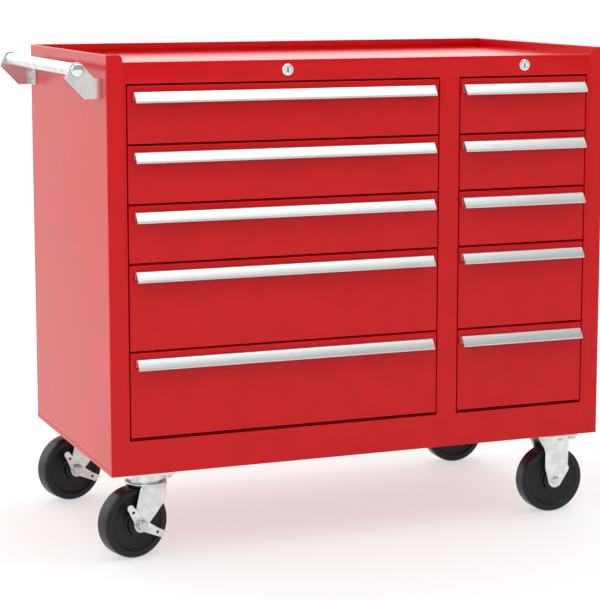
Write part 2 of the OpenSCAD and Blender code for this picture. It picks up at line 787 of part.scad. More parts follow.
// Wheel: rounded tread, dished faces and a hub bored for the axle, round Y
module wheel_shape() {
    r = wheel_r - shoulder_r;
    w = wheel_w / 2;
    half = concat(
        [[axle_r + turn_fit, hub_w / 2], [hub_r, hub_w / 2], [hub_r + 2, w - 3], [r - 7, w - 3],
         [r - 5, w]],
        [for (k = [0:6]) [r + shoulder_r * sin(k * 15), w - shoulder_r + shoulder_r * cos(k * 15)]]);
    rotate([90, 0, 0]) rotate_extrude($fn = 72)
        polygon(concat(half, [for (i = [len(half) - 1:-1:0]) [half[i].x, -half[i].y]]));
}

module wheel(end, side) {
    color(BLACK) {
        if (side == 0) at_swivel(end) translate([trail, 0, wheel_r]) wheel_shape();
        else in_place() translate([caster_x[1], caster_y[end], wheel_r]) wheel_shape();
    }
}

// Rigid frames: top plate and two legs that flare into it
module rigid_leg() {
    eye = [0, wheel_r];
    plate_z = zb - plate_t;
    slim = 20;
    deep = 31;
    waist_z = wheel_r + 22;
    neck_z = plate_z - 26;
    low_l = [-slim, waist_z];
    low_r = [deep, waist_z];
    difference() {
        union() {
            polygon(concat([[-plate_x / 2 + 3, plate_z + 1]],
                corner([[-plate_x / 2 + 3, plate_z], [-slim, neck_z], low_l], 1, 12),
                [low_l, touch(low_l, eye, eye_r, -1), eye, touch(low_r, eye, eye_r, 1), low_r,
                 [deep, neck_z], [deep + 4, plate_z], [deep + 4, plate_z + 1]]));
            translate(eye) circle(r = eye_r);
        }
        translate(eye) circle(r = axle_r + turn_fit);
    }
}

module rigid_caster_frames() {
    color(SILVER) in_place() for (y = caster_y) translate([caster_x[1], y, 0]) {
        top_plate();
        along_y(leg_in, leg_out) rigid_leg();
        along_y(-leg_out, -leg_in) rigid_leg();
    }
}

// Fasteners: bracket screws, caster bolts and nuts, and the rigid casters' axle rivets
module fasteners() {
    grip = bracket_t + sheet_t;
    color(STEEL) in_place() {
        bracket_screws(screw_d / 2, xl - bracket_t - 1, xl + sheet_t + 5);
        bracket_screws(screw_d, xl - bracket_t - 2.6, xl - bracket_t);
        bracket_screws(screw_d * 0.85, xl - bracket_t + grip, xl - bracket_t + grip + 3.5);
        at_bolts() {
            translate([0, 0, zb - plate_t - 8]) cylinder(r = bolt_d / 2, h = plate_t + sheet_t + 9);
            translate([0, 0, zb + sheet_t]) cylinder(r = 7.5, h = 5, $fn = 6);
            translate([0, 0, zb - plate_t - 6.5]) cylinder(r = 7.5, h = 6.5, $fn = 6);
        }
        for (y = caster_y) {
            rod_y(caster_x[1], wheel_r, axle_r, y - leg_out - 1, y + leg_out + 1);
            rod_y(caster_x[1], wheel_r, axle_r + 2.5, y + leg_out, y + leg_out + 2.5);
            rod_y(caster_x[1], wheel_r, axle_r + 2.5, y - leg_out - 2.5, y - leg_out);
        }
    }
}

left_side_panel();
right_side_panel();
back_panel();
top_tray();
base_pan();
front_frame();
center_partition();
side_uprights();
cabinet_rails();
handle_tube();
handle_brackets();
handle_end_plugs();
lock_housings();
swivel_plates();
rigid_caster_frames();
fasteners();
for (s = [0, 1]) {
    lock_plug(s);
    lock_bar(s);
    for (r = [0:ROWS - 1]) {
        drawer(s, r);
        pull(s, r);
        middle_slides(s, r);
    }
}
for (e = [0, 1]) {
    fork(e);
    axle(e);
    brake(e);
    for (s = [0, 1]) {
        wheel(e, s);
    }
}
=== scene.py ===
"""Looks of a rolling tool chest, built round its packed model.

Every piece is in metres in the model's frame: the drawers open towards -Y, the push handle is on
the -X side and the floor is z = 0. Sizes in the code are in millimetres times MM.
"""

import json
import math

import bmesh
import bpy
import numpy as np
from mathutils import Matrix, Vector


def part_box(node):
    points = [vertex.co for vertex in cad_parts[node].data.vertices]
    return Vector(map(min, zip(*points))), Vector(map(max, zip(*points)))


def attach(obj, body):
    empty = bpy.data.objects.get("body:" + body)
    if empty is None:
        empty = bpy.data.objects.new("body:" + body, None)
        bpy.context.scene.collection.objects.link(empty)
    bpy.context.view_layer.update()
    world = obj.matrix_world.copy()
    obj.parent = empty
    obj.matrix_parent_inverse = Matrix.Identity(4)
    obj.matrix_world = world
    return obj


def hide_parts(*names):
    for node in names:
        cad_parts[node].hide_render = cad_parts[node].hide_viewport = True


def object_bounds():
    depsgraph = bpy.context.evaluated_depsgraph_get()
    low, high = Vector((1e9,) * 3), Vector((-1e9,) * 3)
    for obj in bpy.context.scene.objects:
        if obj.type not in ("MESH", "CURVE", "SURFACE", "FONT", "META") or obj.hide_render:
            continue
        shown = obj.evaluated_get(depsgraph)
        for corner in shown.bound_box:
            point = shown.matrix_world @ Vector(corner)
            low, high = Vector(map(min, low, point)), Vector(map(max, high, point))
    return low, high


bl_info = {
    "name": "Rolling tool chest",
    "version": (1, 0, 0),
    "blender": (4, 5, 0),
    "location": "View3D > Sidebar > Tool chest",
    "description": "Finished sheet metal, pulls, locks, handle and casters of a rolling tool chest",
    "category": "Object",
}

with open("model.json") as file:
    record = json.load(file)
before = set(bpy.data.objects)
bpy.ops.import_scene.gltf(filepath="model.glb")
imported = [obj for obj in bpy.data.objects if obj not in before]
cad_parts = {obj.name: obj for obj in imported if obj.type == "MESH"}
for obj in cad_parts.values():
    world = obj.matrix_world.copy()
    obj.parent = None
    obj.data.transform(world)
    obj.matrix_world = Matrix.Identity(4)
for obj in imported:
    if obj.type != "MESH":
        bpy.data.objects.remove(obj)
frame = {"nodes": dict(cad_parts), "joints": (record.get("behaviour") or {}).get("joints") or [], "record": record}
CAD_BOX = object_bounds()

MM = 0.001
SIDES = ("left", "right")
ENDS = ("front", "rear")
ROWS = (1, 2, 3, 4, 5)
# Points closer than this are one point
WELD = 0.002 * MM
UP = np.array([0.0, 0.0, 1.0])
JOINTS = {joint["name"]: joint for joint in frame["joints"]}
BODIES = {node: body for body, nodes in frame["record"]["behaviour"]["bodies"].items() for node in nodes}


# ---------------------------------------------------------------------------- colours and nodes

def linear(code):
    """An sRGB hex colour as linear RGBA."""
    values = np.array([int(code[i:i + 2], 16) for i in (1, 3, 5)]) / 255
    straight = np.where(values <= 0.04045, values / 12.92, ((values + 0.055) / 1.055) ** 2.4)
    return (*straight.tolist(), 1.0)


def add_node(tree, kind, settings, links=None):
    """Adds a node, gives it its settings and links its inputs to other nodes' outputs."""
    node = tree.nodes.new(kind)
    for name, value in settings.items():
        if hasattr(node, name):
            setattr(node, name, value)
        else:
            node.inputs[name].default_value = value
    for name, output in (links or {}).items():
        tree.links.new(output, node.inputs[name])
    return node


def new_material(name):
    """An empty node material, or None where it is there already."""
    if name in bpy.data.materials:
        return None
    material = bpy.data.materials.new(name)
    material.use_nodes = True
    material.node_tree.nodes.clear()
    return material


def finish_material(material, shader):
    """Links a shader to the material's output."""
    add_node(material.node_tree, "ShaderNodeOutputMaterial", {}, {"Surface": shader.outputs[0]})
    return material


def grain(tree, size, stretch=(1.0, 1.0, 1.0), detail=2.0):
    """Noise in Object coordinates whose grains are about size metres, drawn out along an axis."""
    place = add_node(tree, "ShaderNodeTexCoord", {})
    mapping = add_node(tree, "ShaderNodeMapping", {"Scale": stretch},
                       {"Vector": place.outputs["Object"]})
    return add_node(tree, "ShaderNodeTexNoise", {"Scale": 1 / size, "Detail": detail},
                    {"Vector": mapping.outputs[0]})


def shades(tree, noise, dark, light):
    """Two colours mixed by a noise's middle range."""
    ramp = add_node(tree, "ShaderNodeValToRGB", {}, {"Fac": noise.outputs["Fac"]})
    ramp.color_ramp.elements[0].position = 0.35
    ramp.color_ramp.elements[0].color = dark
    ramp.color_ramp.elements[1].position = 0.65
    ramp.color_ramp.elements[1].color = light
    return ramp


def bump(tree, noise, height, strength):
    """A bump of the given height in metres from a noise."""
    return add_node(tree, "ShaderNodeBump", {"Strength": strength, "Distance": height},
                    {"Height": noise.outputs["Fac"]})


def red_powder_coat():
    """Gloss powder coat: a deep even red that mirrors white at a low angle, with a faint orange peel."""
    paint = bpy.context.scene.chest_paint
    material = new_material("red_gloss_powder_coat")
    if material is None:
        return bpy.data.materials["red_gloss_powder_coat"]
    tree = material.node_tree
    # Film thickness varies over some 60 mm, which shows as a slight change of depth
    cloud = grain(tree, 60 * MM)
    colour = shades(tree, cloud, tuple(paint.deep), tuple(paint.red))
    # Orange peel has waves of about 2 mm, 5 micrometres high
    peel = bump(tree, grain(tree, paint.peel), 0.02 * MM, 0.25)
    shader = add_node(tree, "ShaderNodeBsdfPrincipled",
                      {"Roughness": paint.gloss, "IOR": 1.33},
                      {"Base Color": colour.outputs[0], "Normal": peel.outputs[0]})
    return finish_material(material, shader)


def metal(name, dark, light, roughness, size, stretch, height, strength):
    """A metal whose colour and surface vary with one grain."""
    material = new_material(name)
    if material is None:
        return bpy.data.materials[name]
    tree = material.node_tree
    noise = grain(tree, size, stretch)
    colour = shades(tree, noise, linear(dark), linear(light))
    surface = bump(tree, noise, height, strength)
    shader = add_node(tree, "ShaderNodeBsdfPrincipled", {"Metallic": 1.0, "Roughness": roughness},
                      {"Base Color": colour.outputs[0], "Normal": surface.outputs[0]})
    return finish_material(material, shader)


def satin_aluminium():
    """Anodised aluminium extrusion: pale silver, with die lines drawn out along its length."""
    # Die lines are 0.1 mm apart; drawn at 0.8 mm, because finer ones don't show
    return metal("satin_anodised_aluminium", "#CDD0D1", "#E2E4E4", 0.32, 0.8 * MM,
                 (0.01, 1.0, 1.0), 0.01 * MM, 0.3)


def bright_plating():
    """Bright zinc on polished tube and plate: pale, half way to a mirror, hardly clouded."""
    return metal("bright_zinc_on_polished_steel", "#D6D9D9", "#E6E8E7", 0.24, 30 * MM,
                 (1.0, 1.0, 1.0), 0.01 * MM, 0.05)


def chrome():
    """Polished chrome on die cast zinc: a clear mirror with a cool tint."""
    return metal("polished_chrome", "#DCDFE1", "#EEF0F1", 0.07, 8 * MM, (1.0, 1.0, 1.0),
                 0.005 * MM, 0.05)


def stamped_zinc():
    """Bright zinc on stamped steel: pale grey, satin, with a faint mottle left by the bath."""
    return metal("bright_zinc_on_stamped_steel", "#D2D6D7", "#E6E9E9", 0.28, 14 * MM,
                 (1.0, 1.0, 1.0), 0.02 * MM, 0.06)


def rolled_zinc():
    """Zinc on cold-rolled slide members: greyer, with rolling lines along Y."""
    # Rolling lines are about 0.2 mm apart; drawn at 1 mm, because finer ones don't show
    return metal("zinc_on_rolled_steel", "#A9ADAF", "#CBCED0", 0.36, 1 * MM, (1.0, 0.02, 1.0),
                 0.01 * MM, 0.25)


def fastener_zinc():
    """Zinc on cold-headed steel: slightly darker than the stampings."""
    return metal("zinc_on_cold_headed_steel", "#C2C6C8", "#D6D9DA", 0.26, 5 * MM, (1.0, 1.0, 1.0),
                 0.01 * MM, 0.15)


def rubber(name, dark, light, roughness):
    """Moulded hard rubber: a charcoal with fine speckle and a dry surface."""
    material = new_material(name)
    if material is None:
        return bpy.data.materials[name]
    tree = material.node_tree
    # Filler and mould texture are about 0.3 mm; drawn at 1.2 mm, because finer ones don't show
    speckle = grain(tree, 1.2 * MM, detail=4.0)
    colour = shades(tree, speckle, dark, light)
    surface = bump(tree, speckle, 0.08 * MM, 0.35)
    shader = add_node(tree, "ShaderNodeBsdfPrincipled", {"Roughness": roughness, "IOR": 1.4},
                      {"Base Color": colour.outputs[0], "Normal": surface.outputs[0]})
    return finish_material(material, shader)


def sidewall_rubber():
    """The moulded face of a wheel, as it left the tool: nearly black."""
    settings = bpy.context.scene.chest_wheels
    return rubber("moulded_hard_rubber", linear("#0B0C0E"), tuple(settings.rubber), 0.36)


def tread_rubber():
    """The ground tread of a wheel: greyer and drier than its faces."""
    return rubber("ground_tread_rubber", linear("#505255"), linear("#5E6063"), 0.75)


def key_slot_painted_shade():
    """Painted shade for the inside of the key slot: a near-black metal put where the keyway lies in shadow."""
    return metal("black_oxide", "#151617", "#26282A", 0.5, 1 * MM, (1.0, 1.0, 1.0), 0.01 * MM, 0.2)


# ---------------------------------------------------------------------------- meshes

def grid_faces(rows, columns, wrap_rows, wrap_columns):
    """Quads of a grid as an array of vertex numbers, closed round either way where asked."""
    down = np.arange(rows if wrap_rows else rows - 1)[:, None]
    across = np.arange(columns if wrap_columns else columns - 1)[None, :]
    below, beside = (down + 1) % rows, (across + 1) % columns
    corners = (down * columns + across, down * columns + beside,
               below * columns + beside, below * columns + across)
    return np.stack([np.broadcast_to(c, (len(down), across.shape[1])) for c in corners],
                    axis=-1).reshape(-1, 4)


def grid(points, wrap_rows=False, wrap_columns=False, finish=0):
    """A surface for make_piece: its points, its faces and the number of its material."""
    rows, columns = points.shape[:2]
    return points.reshape(-1, 3), grid_faces(rows, columns, wrap_rows, wrap_columns), finish


def shade(mesh, angle=32):
    """Smooth shading that breaks at edges sharper than the angle."""
    mesh.polygons.foreach_set("use_smooth", np.ones(len(mesh.polygons), bool))
    mesh.set_sharp_from_angle(angle=math.radians(angle))


def clean(mesh):
    """Merges doubles, which closes seams and poles, and turns the faces outwards."""
    work = bmesh.new()
    work.from_mesh(mesh)
    bmesh.ops.remove_doubles(work, verts=work.verts, dist=WELD)
    bmesh.ops.recalc_face_normals(work, faces=work.faces)
    work.to_mesh(mesh)
    work.free()


def add_piece(name, mesh, body, materials):
    """Links a mesh as a piece at the origin, with its materials, on its body."""
    piece = bpy.data.objects.new(name, mesh)
    bpy.context.scene.collection.objects.link(piece)
    mesh.materials.clear()
    for material in materials:
        mesh.materials.append(material)
    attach(piece, body)
    return piece


def make_piece(name, grids, body, materials, replaced=(), wall=0.0, ease=0.0):
    """A piece of one or more grids, with a wall thickness and eased edges where asked."""
    counts = np.cumsum([0] + [len(points) for points, _, _ in grids])
    points = np.concatenate([points for points, _, _ in grids])
    faces = np.concatenate([faces + start for (_, faces, _), start in zip(grids, counts)])
    finishes = np.concatenate([np.full(len(faces), finish) for _, faces, finish in grids])
    mesh = bpy.data.meshes.new(name)
    mesh.from_pydata(points.tolist(), [], faces.tolist())
    mesh.polygons.foreach_set("material_index", finishes.astype(np.int32))
    clean(mesh)
    shade(mesh)
    piece = add_piece(name, mesh, body, materials)
    if wall:
        solid = piece.modifiers.new("wall", "SOLIDIFY")
        solid.thickness = wall
        solid.offset = 0.0
        solid.use_even_offset = True
    if ease:
        add_ease(piece, ease)
    for node in replaced:
        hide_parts(node)
    return piece


def add_ease(piece, width):
    """Rounds a piece's sharp edges, as deburring and plating or paint leave them."""
    edge = piece.modifiers.new("eased edges", "BEVEL")
    edge.width = width
    edge.segments = 2
    edge.limit_method = "ANGLE"
    edge.angle_limit = math.radians(38)
    edge.use_clamp_overlap = False
    edge.harden_normals = True


def eased_copy(node, materials, width, choose=None):
    """Stands for a CAD node: its own mesh, merged, with eased edges.

    choose says which material each face has, from the array of the faces' middles.
    """
    mesh = frame["nodes"][node].data.copy()
    mesh.name = node + "_sheet"
    work = bmesh.new()
    work.from_mesh(mesh)
    bmesh.ops.remove_doubles(work, verts=work.verts, dist=WELD)
    bmesh.ops.dissolve_limit(work, angle_limit=math.radians(0.5), verts=work.verts, edges=work.edges)
    bmesh.ops.recalc_face_normals(work, faces=work.faces)
    work.to_mesh(mesh)
    work.free()
    if "custom_normal" in mesh.attributes:
        mesh.attributes.remove(mesh.attributes["custom_normal"])
    shade(mesh)
    piece = add_piece(node + "_finished", mesh, BODIES[node], materials)
    middles = np.zeros(len(mesh.polygons) * 3)
    mesh.polygons.foreach_get("center", middles)
    numbers = np.zeros(len(mesh.polygons), np.int32)
    if choose is not None:
        numbers = choose(middles.reshape(-1, 3)).astype(np.int32)
    mesh.polygons.foreach_set("material_index", numbers)
    add_ease(piece, width)
    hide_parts(node)
    return piece


def dress(node, material):
    """Gives a CAD node its material."""
    mesh = frame["nodes"][node].data
    if not mesh.materials:
        mesh.materials.append(material)
    for slot in frame["nodes"][node].material_slots:
        slot.material = material


def solids_of(node):
    """Lowest and highest corners of each separate solid of a CAD node."""
    work = bmesh.new()
    work.from_mesh(frame["nodes"][node].data)
    bmesh.ops.remove_doubles(work, verts=work.verts, dist=WELD)
    left, boxes = set(work.verts), []
    while left:
        group, front = set(), [left.pop()]
        while front:
            vertex = front.pop()
            group.add(vertex)
            near = {edge.other_vert(vertex) for edge in vertex.link_edges} & left
            left -= near
            front.extend(near)
        corners = np.array([vertex.co for vertex in group])
        boxes.append((corners.min(0), corners.max(0)))
    work.free()
    return boxes


def axes_of(joint):
    """Origin, travel direction and axle direction of a wheel, from its joint."""
    origin = np.array(JOINTS[joint]["pos_m"])
    along = np.array(JOINTS[joint]["axis"])
    along = along / np.linalg.norm(along)
    return origin, np.cross(along, UP), along


def set_in(points, origin, across, along):
    """Points given as (across, along, up) from an origin, put into the model's frame."""
    return (origin + points[..., 0:1] * across + points[..., 1:2] * along + points[..., 2:3] * UP)


def square_to(axis):
    """The axis as an array, and two unit vectors square to it and to each other."""
    axis = np.asarray(axis, float)
    side = UP if abs(axis[2]) < 0.9 else np.array([1.0, 0.0, 0.0])
    a = np.cross(side, axis)
    a = a / np.linalg.norm(a)
    return axis, a, np.cross(axis, a)


def revolve(profile, origin, axis, steps=64):
    """Turns a profile of (radius, distance along the axis) round the axis.

    Point (i, j) is origin + axis * d_i + r_i * (cos(t_j) * a + sin(t_j) * b), where a and b are
    square to the axis and t_j goes once round.
    """
    axis, a, b = square_to(axis)
    profile = np.asarray(profile, float)
    turn = np.linspace(0, 2 * math.pi, steps, endpoint=False)
    spoke = np.cos(turn)[:, None] * a + np.sin(turn)[:, None] * b
    return origin + profile[:, 1, None, None] * axis + profile[:, 0, None, None] * spoke[None]


def arc(centre, radius, start, end, steps=8):
    """Points (x, y) on an arc, from one angle to another in degrees."""
    turn = np.radians(np.linspace(start, end, steps))
    return np.stack([centre[0] + radius * np.cos(turn), centre[1] + radius * np.sin(turn)], axis=1)


def smooth_step(x, low, high):
    """0 below low, 1 above high, and 3t^2 - 2t^3 between."""
    t = np.clip((x - low) / (high - low), 0, 1)
    return t * t * (3 - 2 * t)


def hexagon(origin, axis, radius, height, dome=0.0, steps=72):
    """A hexagonal nut or bolt head, with its corners chamfered at 30 degrees at both ends.

    The radius at angle t is the smaller of the hexagon's, f / cos(t mod 60 - 30) with f the half
    width over flats, and the chamfer cone's, so the corners are cut where the cone is narrower.
    """
    axis, a, b = square_to(axis)
    flat = radius * math.cos(math.radians(30))
    turn = np.linspace(0, 360, steps, endpoint=False)
    corner = flat / np.cos(np.radians(turn % 60 - 30))
    cut = math.tan(math.radians(30))
    levels = np.array([0, 0, 0.02, 0.06, 0.12, 0.88, 0.94, 0.98, 1, 1]) * height
    depth = np.minimum(levels, height - levels)
    cone = 0.97 * flat + depth / cut
    reach = np.minimum(corner[None, :], cone[:, None])
    reach[0] = 0
    reach[-1] = 0
    lift = levels.copy()
    lift[-1] += dome
    spoke = np.cos(np.radians(turn))[:, None] * a + np.sin(np.radians(turn))[:, None] * b
    return origin + lift[:, None, None] * axis + reach[..., None] * spoke[None]


def thread(origin, axis, radius, length, pitch=1.25 * MM, steps=24):
    """A threaded shank whose radius drops by a triangle wave of (distance / pitch - turn)."""
    axis, a, b = square_to(axis)
    turn = np.linspace(0, 1, steps, endpoint=False)
    along = np.linspace(0, length, max(5, int(4 * length / pitch)))
    wave = np.abs(((along[:, None] / pitch - turn[None, :]) % 1) - 0.5) * 2
    reach = radius - 0.6 * pitch * (1 - wave)
    reach = np.minimum(reach, radius - 0.5 * pitch * smooth_step(along, length - pitch, length)[:, None])
    reach = np.concatenate([np.zeros((1, steps)), reach, np.zeros((1, steps))])
    along = np.concatenate([[0], along, [length]])
    spoke = (np.cos(2 * math.pi * turn)[:, None] * a + np.sin(2 * math.pi * turn)[:, None] * b)
    return origin + along[:, None, None] * axis + reach[..., None] * spoke[None]


# ---------------------------------------------------------------------------- settings

class PaintSettings(bpy.types.PropertyGroup):
    """Colour and surface of the painted sheet."""
    red: bpy.props.FloatVectorProperty(
        name="Red", description="Colour of the powder coat", size=4, subtype="COLOR",
        min=0, max=1, default=linear("#CA0710"))
    deep: bpy.props.FloatVectorProperty(
        name="Deep red", description="Colour where the coat is thicker", size=4, subtype="COLOR",
        min=0, max=1, default=linear("#C4060E"))
    peel: bpy.props.FloatProperty(
        name="Orange peel", description="Distance between the waves of the coat", unit="LENGTH",
        subtype="DISTANCE", min=0.5 * MM, max=10 * MM, default=2 * MM)
    gloss: bpy.props.FloatProperty(
        name="Roughness", description="Roughness of the coat: 0 is a mirror", min=0.05, max=0.6,
        default=0.2)
    ease: bpy.props.FloatProperty(
        name="Edge", description="Radius of the painted sheet's cut edges", unit="LENGTH",
        subtype="DISTANCE", min=0.1 * MM, max=0.5 * MM, default=0.4 * MM)


class PullSettings(bpy.types.PropertyGroup):
    """Shape of the drawer pulls' extrusion."""
    wall: bpy.props.FloatProperty(
        name="Wall", description="Thickness of the extrusion", unit="LENGTH", subtype="DISTANCE",
        min=1 * MM, max=2.2 * MM, default=1.6 * MM)
    bead: bpy.props.FloatProperty(
        name="Bead", description="Radius of the curled lip", unit="LENGTH", subtype="DISTANCE",
        min=1 * MM, max=3 * MM, default=1.9 * MM)


class WheelSettings(bpy.types.PropertyGroup):
    """Shape and colour of the caster wheels."""
    rubber: bpy.props.FloatVectorProperty(
        name="Rubber", description="Colour of the moulded faces", size=4, subtype="COLOR",
        min=0, max=1, default=linear("#121316"))
    ring_gap: bpy.props.FloatProperty(
        name="Ring spacing", description="Distance between the moulded rings of a face",
        unit="LENGTH", subtype="DISTANCE", min=2 * MM, max=10 * MM, default=4.5 * MM)
    ring_rise: bpy.props.FloatProperty(
        name="Ring height", description="Height of the moulded rings", unit="LENGTH",
        subtype="DISTANCE", min=0, max=1 * MM, default=0.5 * MM)


class CasterSettings(bpy.types.PropertyGroup):
    """Shape of the stamped caster frames."""
    wall: bpy.props.FloatProperty(
        name="Wall", description="Thickness of the stamped legs", unit="LENGTH",
        subtype="DISTANCE", min=2 * MM, max=3.5 * MM, default=3 * MM)
    rib: bpy.props.FloatProperty(
        name="Rib", description="Rise of the rib in a rigid frame's leg", unit="LENGTH",
        subtype="DISTANCE", min=0, max=4 * MM, default=3 * MM)
    lip: bpy.props.FloatProperty(
        name="Lip", description="Depth of the turned edges of a leg", unit="LENGTH",
        subtype="DISTANCE", min=0, max=4 * MM, default=2 * MM)


class StageSettings(bpy.types.PropertyGroup):
    """Camera and light."""
    yaw: bpy.props.FloatProperty(
        name="Yaw", description="Turn of the camera from straight on", unit="ROTATION",
        subtype="ANGLE", default=math.radians(21.48))
    pitch: bpy.props.FloatProperty(
        name="Pitch", description="Tilt of the camera down", unit="ROTATION", subtype="ANGLE",
        default=math.radians(8.53))
    lens: bpy.props.FloatProperty(
        name="Lens", description="Focal length in millimetres", subtype="DISTANCE_CAMERA",
        min=20, max=300, default=121.3)
    place: bpy.props.FloatVectorProperty(
        name="Camera", description="Place of the camera", size=3, subtype="TRANSLATION",
        unit="LENGTH", default=(-1.3974, -3.5574, 1.0354))
    floor: bpy.props.FloatVectorProperty(
        name="Floor", description="Colour of the floor", size=4, subtype="COLOR", min=0, max=1,
        default=linear("#A6A6A5"))


# ---------------------------------------------------------------------------- cabinet and drawers

class CHEST_OT_cabinet(bpy.types.Operator):
    """Painted cabinet: panels, tray, pan, front frame, partition and posts"""
    bl_idname = "chest.cabinet"
    bl_label = "Cabinet"

    def execute(self, context):
        paint = red_powder_coat()
        width = context.scene.chest_paint.ease
        for node in ("back_panel", "top_tray", "base_pan", "front_frame"):
            eased_copy(node, [paint], width)
        # The side panels' hems end in slivers, which a bevel would draw out into spikes
        for node in ("left_side_panel", "right_side_panel", "center_partition", "side_uprights"):
            dress(node, paint)
        return {"FINISHED"}


class CHEST_OT_drawers(bpy.types.Operator):
    """Drawers: painted front and box, with the plated slide members riveted to them"""
    bl_idname = "chest.drawers"
    bl_label = "Drawers"

    def execute(self, context):
        finishes = [red_powder_coat(), rolled_zinc()]
        width = context.scene.chest_paint.ease
        # A front reaches 10.2 mm past the box on each side; the slide members fill that space
        overlap = 10.2 * MM
        front_depth = 16 * MM
        for side in SIDES:
            for row in ROWS:
                node = f"drawer_{side}_{row}"
                low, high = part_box(node)

                def is_slide(middles):
                    beside = (middles[:, 0] < low.x + overlap - 0.05 * MM)
                    beside |= (middles[:, 0] > high.x - overlap + 0.05 * MM)
                    return beside & (middles[:, 1] > low.y + front_depth)

                eased_copy(node, finishes, 0.8 * width, is_slide)
        return {"FINISHED"}


class CHEST_OT_slides(bpy.types.Operator):
    """Slide members that stay in the cabinet or run at half speed, and the lock bars"""
    bl_idname = "chest.slides"
    bl_label = "Slides and lock bars"

    def execute(self, context):
        zinc = rolled_zinc()
        dress("cabinet_rails", zinc)
        for side in SIDES:
            dress(f"lock_bar_{side}", zinc)
            for row in ROWS:
                dress(f"middle_slides_{side}_{row}", zinc)
        return {"FINISHED"}


def pull_section(depth, drop, wall, bead):
    """Middle line of a pull's wall, as (out of the front, up) from its upper back edge.

    A back leg goes up, turns over a flat ledge, runs down a straight slope, and ends in a bead
    that curls back under it through 250 degrees.
    """
    half = wall / 2
    turn = 1.6 * MM
    ledge = 7.2 * MM
    back = np.array([[half, -0.75 * drop], [half, -half - turn]])
    over = arc((half + turn, -half - turn), turn, 180, 90)
    lip = np.array([depth - bead - half, -drop + bead + half])
    down = np.array([ledge, -half])
    slope = lip - down
    angle = math.degrees(math.atan2(slope[1], slope[0]))
    shoulder = arc((down[0] - turn, down[1] - turn), turn, 90, 90 + angle)
    start = 90 + angle
    curl = arc((lip[0], lip[1]), bead, start, start - 250, 18)
    return np.concatenate([back, over, shoulder, curl])


class CHEST_OT_pulls(bpy.types.Operator):
    """Pulls: an aluminium extrusion the width of each drawer"""
    bl_idname = "chest.pulls"
    bl_label = "Pulls"

    def execute(self, context):
        settings = context.scene.chest_pulls
        for side in SIDES:
            for row in ROWS:
                node = f"pull_{side}_{row}"
                low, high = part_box(node)
                section = pull_section(high.y - low.y, high.z - low.z, settings.wall, settings.bead)
                along = np.linspace(low.x, high.x, 13)
                points = np.zeros((len(section), len(along), 3))
                points[..., 0] = along[None, :]
                points[..., 1] = high.y - section[:, 0, None]
                points[..., 2] = high.z + section[:, 1, None]
                make_piece(f"pull_{side}_{row}_extrusion", [grid(points)], f"drawer_{side}_{row}",
                           [satin_aluminium()], [node], settings.wall, 0.25 * MM)
        return {"FINISHED"}


# ---------------------------------------------------------------------------- locks and handle

class CHEST_OT_locks(bpy.types.Operator):
    """Locks: a domed chrome face with a groove round the turning plug"""
    bl_idname = "chest.locks"
    bl_label = "Locks"

    def execute(self, context):
        faces = []
        for low, high in solids_of("lock_housings"):
            middle = np.array([(low[0] + high[0]) / 2, high[1] - 22 * MM, (low[2] + high[2]) / 2])
            profile = np.concatenate([
                [[6.1, -21.8], [8.4, -21.8], [8.4, 0], [10.4, 0]],
                arc((9.4, 0.9), 1.0, 0, 60, 5), arc((7.9, 0.4), 2.1, 50, 95, 5),
                [[7.5, 2.3], [7.35, 1.2], [6.85, 1.2], [6.7, 2.3], [6.55, 2.45], [6.2, 2.45],
                 [6.1, 2.3]]]) * MM
            faces.append(grid(revolve(profile, middle, (0, -1, 0), 72), True, True))
        make_piece("lock_faces", faces, "cabinet", [chrome()], ["lock_housings"])
        for side in SIDES:
            node = f"lock_plug_{side}"
            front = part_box(node)[0].y

            def in_slot(middles):
                return (middles[:, 1] > front + 0.3 * MM) & (middles[:, 1] < front + 5.2 * MM) & (
                    np.abs(middles[:, 0] - JOINTS[f"lock_{side}_turn"]["pos_m"][0]) < 3 * MM)

            # Faces inside the key slot take the near-black finish: painted shade in the keyway
            eased_copy(node, [chrome(), key_slot_painted_shade()], 0.3 * MM, in_slot)
        return {"FINISHED"}


class CHEST_OT_handle(bpy.types.Operator):
    """Push handle: a plated tube, its two brackets and its domed end plugs"""
    bl_idname = "chest.handle"
    bl_label = "Handle"

    def execute(self, context):
        low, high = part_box("handle_tube")
        middle = np.array([(low.x + high.x) / 2, 0, (low.z + high.z) / 2])
        radius, wall = (high.x - low.x) / 2, 1.6 * MM
        ease = 0.4 * MM
        profile = np.concatenate([
            [[radius - wall, low.y]],
            [[radius - ease, low.y]],
            arc((radius - ease, low.y + ease), ease, -90, 0, 4),
            [[radius, y] for y in np.linspace(low.y + 2 * ease, high.y - 2 * ease, 24)],
            arc((radius - ease, high.y - ease), ease, 0, 90, 4),
            [[radius - wall, high.y]]])
        tube = revolve(profile, middle, (0, 1, 0), 80)
        make_piece("handle_tube_plated", [grid(tube, True, True)], "cabinet",
                   [bright_plating()], ["handle_tube"])
        caps = []
        for direction, y in ((-1, low.y), (1, high.y)):
            profile = np.concatenate([
                [[0, -11.8], [8.9, -11.8], [9.1, -11.2], [9.1, 0], [10.2, 0.02]],
                arc((10.2, 0.8), 0.75, -60, 20, 5),
                [[10.6 * math.cos(t), 1.0 + 1.9 * math.sin(t)] for t in np.linspace(0.1, 1.57, 12)],
            ]) * MM
            profile[-1, 0] = 0
            caps.append(grid(revolve(profile, middle + np.array([0, y, 0]), (0, direction, 0), 64),
                             False, True))
        make_piece("handle_caps", caps, "cabinet", [chrome()], ["handle_end_plugs"])
        eased_copy("handle_brackets", [bright_plating()], 0.6 * MM)
        return {"FINISHED"}


# ---------------------------------------------------------------------------- casters

